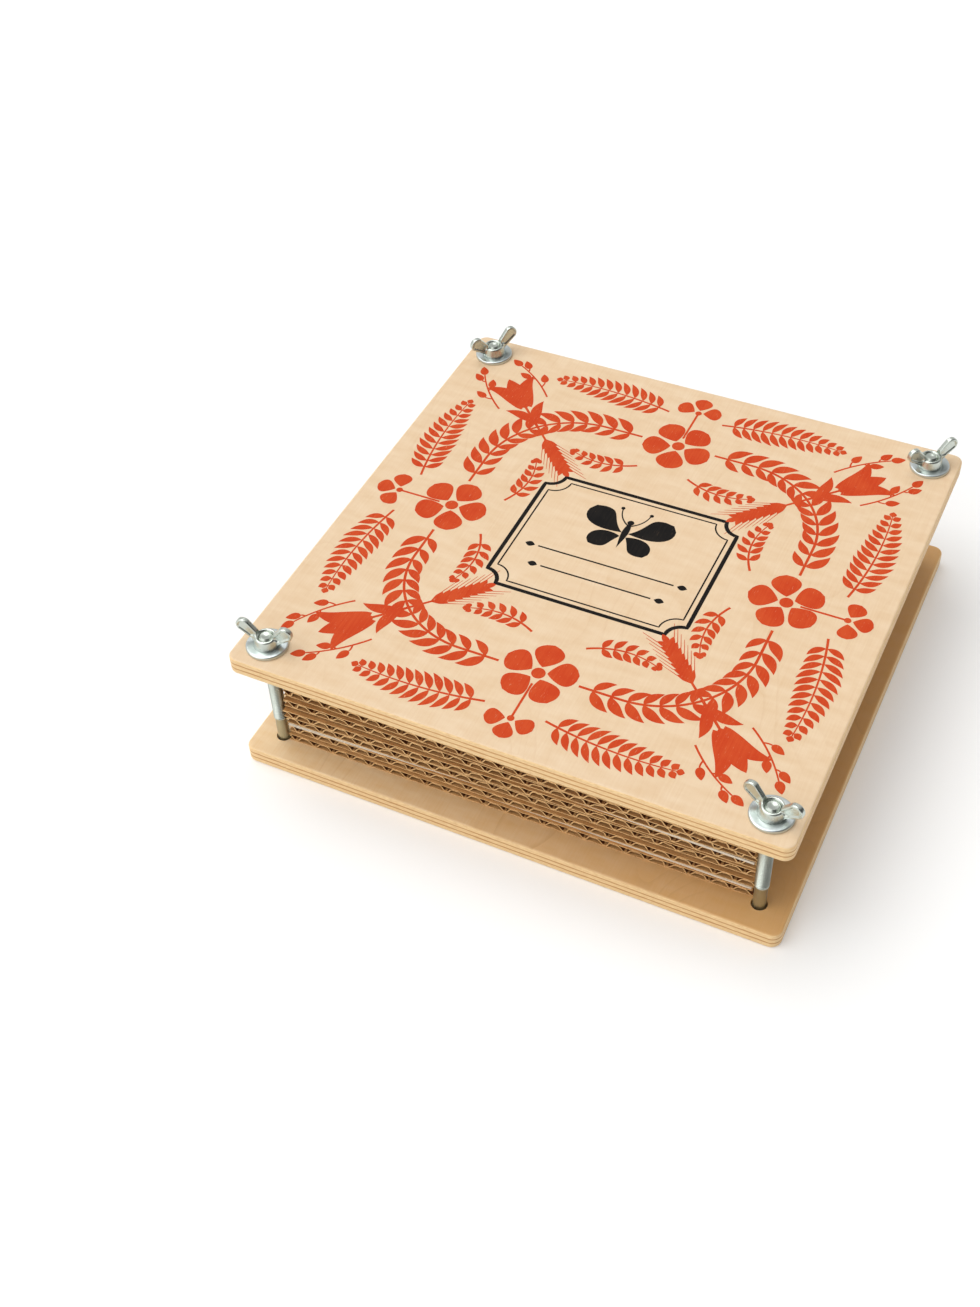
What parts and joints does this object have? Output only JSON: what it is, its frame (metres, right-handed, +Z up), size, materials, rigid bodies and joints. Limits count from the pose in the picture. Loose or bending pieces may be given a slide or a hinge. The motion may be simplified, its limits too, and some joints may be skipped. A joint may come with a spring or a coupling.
{
  "type": "flower press",
  "caption": "Square plywood flower press: a stack of corrugated card and blotting paper squeezed between two boards by corner bolts with washers and wing nuts.",
  "frame": {"origin": "centre of the bottom board's underside", "axes": "+Z up along the bolts, +X to the right and -Y towards the front of the picture, both along the board's edges"},
  "size_m": [0.24, 0.24, 0.0763],
  "materials": {
    "birch_plywood": "fine-sanded birch plywood, unvarnished",
    "corrugated_kraft": "plain brown kraft, matt",
    "blotting_paper": "soft uncoated blotting paper",
    "zinc_plated_steel": "bright zinc plating"
  },
  "bodies": {
    "base": {"bottom_board": "birch_plywood", "bolt_front_left": "zinc_plated_steel", "bolt_front_right": "zinc_plated_steel", "bolt_back_left": "zinc_plated_steel", "bolt_back_right": "zinc_plated_steel"},
    "cardboard_1": {"cardboard_1": "corrugated_kraft"},
    "blotting_paper_1": {"blotting_paper_1": "blotting_paper"},
    "blotting_paper_2": {"blotting_paper_2": "blotting_paper"},
    "cardboard_2": {"cardboard_2": "corrugated_kraft"},
    "blotting_paper_3": {"blotting_paper_3": "blotting_paper"},
    "blotting_paper_4": {"blotting_paper_4": "blotting_paper"},
    "cardboard_3": {"cardboard_3": "corrugated_kraft"},
    "blotting_paper_5": {"blotting_paper_5": "blotting_paper"},
    "blotting_paper_6": {"blotting_paper_6": "blotting_paper"},
    "cardboard_4": {"cardboard_4": "corrugated_kraft"},
    "blotting_paper_7": {"blotting_paper_7": "blotting_paper"},
    "blotting_paper_8": {"blotting_paper_8": "blotting_paper"},
    "cardboard_5": {"cardboard_5": "corrugated_kraft"},
    "blotting_paper_9": {"blotting_paper_9": "blotting_paper"},
    "blotting_paper_10": {"blotting_paper_10": "blotting_paper"},
    "cardboard_6": {"cardboard_6": "corrugated_kraft"},
    "blotting_paper_11": {"blotting_paper_11": "blotting_paper"},
    "blotting_paper_12": {"blotting_paper_12": "blotting_paper"},
    "cardboard_7": {"cardboard_7": "corrugated_kraft"},
    "blotting_paper_13": {"blotting_paper_13": "blotting_paper"},
    "blotting_paper_14": {"blotting_paper_14": "blotting_paper"},
    "cardboard_8": {"cardboard_8": "corrugated_kraft"},
    "blotting_paper_15": {"blotting_paper_15": "blotting_paper"},
    "blotting_paper_16": {"blotting_paper_16": "blotting_paper"},
    "cardboard_9": {"cardboard_9": "corrugated_kraft"},
    "top_board": {"top_board": "birch_plywood"},
    "washer_front_left": {"washer_front_left": "zinc_plated_steel"},
    "wing_nut_front_left": {"wing_nut_front_left": "zinc_plated_steel"},
    "washer_front_right": {"washer_front_right": "zinc_plated_steel"},
    "wing_nut_front_right": {"wing_nut_front_right": "zinc_plated_steel"},
    "washer_back_left": {"washer_back_left": "zinc_plated_steel"},
    "wing_nut_back_left": {"wing_nut_back_left": "zinc_plated_steel"},
    "washer_back_right": {"washer_back_right": "zinc_plated_steel"},
    "wing_nut_back_right": {"wing_nut_back_right": "zinc_plated_steel"}
  },
  "joints": [
    {"name": "cardboard_1_lift", "type": "slide", "parent": "base", "child": "cardboard_1", "axis": [0, 0, 1], "range_m": [0, 0.015]},
    {"name": "blotting_paper_1_lift", "type": "slide", "parent": "cardboard_1", "child": "blotting_paper_1", "axis": [0, 0, 1], "range_m": [0, 0.015]},
    {"name": "blotting_paper_2_lift", "type": "slide", "parent": "blotting_paper_1", "child": "blotting_paper_2", "axis": [0, 0, 1], "range_m": [0, 0.015]},
    {"name": "cardboard_2_lift", "type": "slide", "parent": "blotting_paper_2", "child": "cardboard_2", "axis": [0, 0, 1], "range_m": [0, 0.015]},
    {"name": "blotting_paper_3_lift", "type": "slide", "parent": "cardboard_2", "child": "blotting_paper_3", "axis": [0, 0, 1], "range_m": [0, 0.015]},
    {"name": "blotting_paper_4_lift", "type": "slide", "parent": "blotting_paper_3", "child": "blotting_paper_4", "axis": [0, 0, 1], "range_m": [0, 0.015]},
    {"name": "cardboard_3_lift", "type": "slide", "parent": "blotting_paper_4", "child": "cardboard_3", "axis": [0, 0, 1], "range_m": [0, 0.015]},
    {"name": "blotting_paper_5_lift", "type": "slide", "parent": "cardboard_3", "child": "blotting_paper_5", "axis": [0, 0, 1], "range_m": [0, 0.015]},
    {"name": "blotting_paper_6_lift", "type": "slide", "parent": "blotting_paper_5", "child": "blotting_paper_6", "axis": [0, 0, 1], "range_m": [0, 0.015]},
    {"name": "cardboard_4_lift", "type": "slide", "parent": "blotting_paper_6", "child": "cardboard_4", "axis": [0, 0, 1], "range_m": [0, 0.015]},
    {"name": "blotting_paper_7_lift", "type": "slide", "parent": "cardboard_4", "child": "blotting_paper_7", "axis": [0, 0, 1], "range_m": [0, 0.015]},
    {"name": "blotting_paper_8_lift", "type": "slide", "parent": "blotting_paper_7", "child": "blotting_paper_8", "axis": [0, 0, 1], "range_m": [0, 0.015]},
    {"name": "cardboard_5_lift", "type": "slide", "parent": "blotting_paper_8", "child": "cardboard_5", "axis": [0, 0, 1], "range_m": [0, 0.015]},
    {"name": "blotting_paper_9_lift", "type": "slide", "parent": "cardboard_5", "child": "blotting_paper_9", "axis": [0, 0, 1], "range_m": [0, 0.015]},
    {"name": "blotting_paper_10_lift", "type": "slide", "parent": "blotting_paper_9", "child": "blotting_paper_10", "axis": [0, 0, 1], "range_m": [0, 0.015]},
    {"name": "cardboard_6_lift", "type": "slide", "parent": "blotting_paper_10", "child": "cardboard_6", "axis": [0, 0, 1], "range_m": [0, 0.015]},
    {"name": "blotting_paper_11_lift", "type": "slide", "parent": "cardboard_6", "child": "blotting_paper_11", "axis": [0, 0, 1], "range_m": [0, 0.015]},
    {"name": "blotting_paper_12_lift", "type": "slide", "parent": "blotting_paper_11", "child": "blotting_paper_12", "axis": [0, 0, 1], "range_m": [0, 0.015]},
    {"name": "cardboard_7_lift", "type": "slide", "parent": "blotting_paper_12", "child": "cardboard_7", "axis": [0, 0, 1], "range_m": [0, 0.015]},
    {"name": "blotting_paper_13_lift", "type": "slide", "parent": "cardboard_7", "child": "blotting_paper_13", "axis": [0, 0, 1], "range_m": [0, 0.015]},
    {"name": "blotting_paper_14_lift", "type": "slide", "parent": "blotting_paper_13", "child": "blotting_paper_14", "axis": [0, 0, 1], "range_m": [0, 0.015]},
    {"name": "cardboard_8_lift", "type": "slide", "parent": "blotting_paper_14", "child": "cardboard_8", "axis": [0, 0, 1], "range_m": [0, 0.015]},
    {"name": "blotting_paper_15_lift", "type": "slide", "parent": "cardboard_8", "child": "blotting_paper_15", "axis": [0, 0, 1], "range_m": [0, 0.015]},
    {"name": "blotting_paper_16_lift", "type": "slide", "parent": "blotting_paper_15", "child": "blotting_paper_16", "axis": [0, 0, 1], "range_m": [0, 0.015]},
    {"name": "cardboard_9_lift", "type": "slide", "parent": "blotting_paper_16", "child": "cardboard_9", "axis": [0, 0, 1], "range_m": [0, 0.015]},
    {"name": "top_board_lift", "type": "slide", "parent": "cardboard_9", "child": "top_board", "axis": [0, 0, 1], "range_m": [0, 0.02]},
    {"name": "washer_front_left_lift", "type": "slide", "parent": "top_board", "child": "washer_front_left", "axis": [0, 0, 1], "range_m": [0, 0.0061]},
    {"name": "wing_nut_front_left_spin", "type": "hinge", "parent": "washer_front_left", "child": "wing_nut_front_left", "pos_m": [-0.1074, -0.1074, 0.0672], "axis": [0, 0, 1], "range_deg": [0, 2160]},
    {"name": "washer_front_right_lift", "type": "slide", "parent": "top_board", "child": "washer_front_right", "axis": [0, 0, 1], "range_m": [0, 0.0061]},
    {"name": "wing_nut_front_right_spin", "type": "hinge", "parent": "washer_front_right", "child": "wing_nut_front_right", "pos_m": [0.1074, -0.1074, 0.0672], "axis": [0, 0, 1], "range_deg": [0, 2160]},
    {"name": "washer_back_left_lift", "type": "slide", "parent": "top_board", "child": "washer_back_left", "axis": [0, 0, 1], "range_m": [0, 0.0061]},
    {"name": "wing_nut_back_left_spin", "type": "hinge", "parent": "washer_back_left", "child": "wing_nut_back_left", "pos_m": [-0.1074, 0.1074, 0.0672], "axis": [0, 0, 1], "range_deg": [0, 2160]},
    {"name": "washer_back_right_lift", "type": "slide", "parent": "top_board", "child": "washer_back_right", "axis": [0, 0, 1], "range_m": [0, 0.0061]},
    {"name": "wing_nut_back_right_spin", "type": "hinge", "parent": "washer_back_right", "child": "wing_nut_back_right", "pos_m": [0.1074, 0.1074, 0.0672], "axis": [0, 0, 1], "range_deg": [0, 2160]}
  ],
  "couplings": [
    {"joint": "washer_front_left_lift", "follows": "wing_nut_front_left_spin", "m_per_rad": 0.00015915},
    {"joint": "washer_front_right_lift", "follows": "wing_nut_front_right_spin", "m_per_rad": 0.00015915},
    {"joint": "washer_back_left_lift", "follows": "wing_nut_back_left_spin", "m_per_rad": 0.00015915},
    {"joint": "washer_back_right_lift", "follows": "wing_nut_back_right_spin", "m_per_rad": 0.00015915}
  ]
}
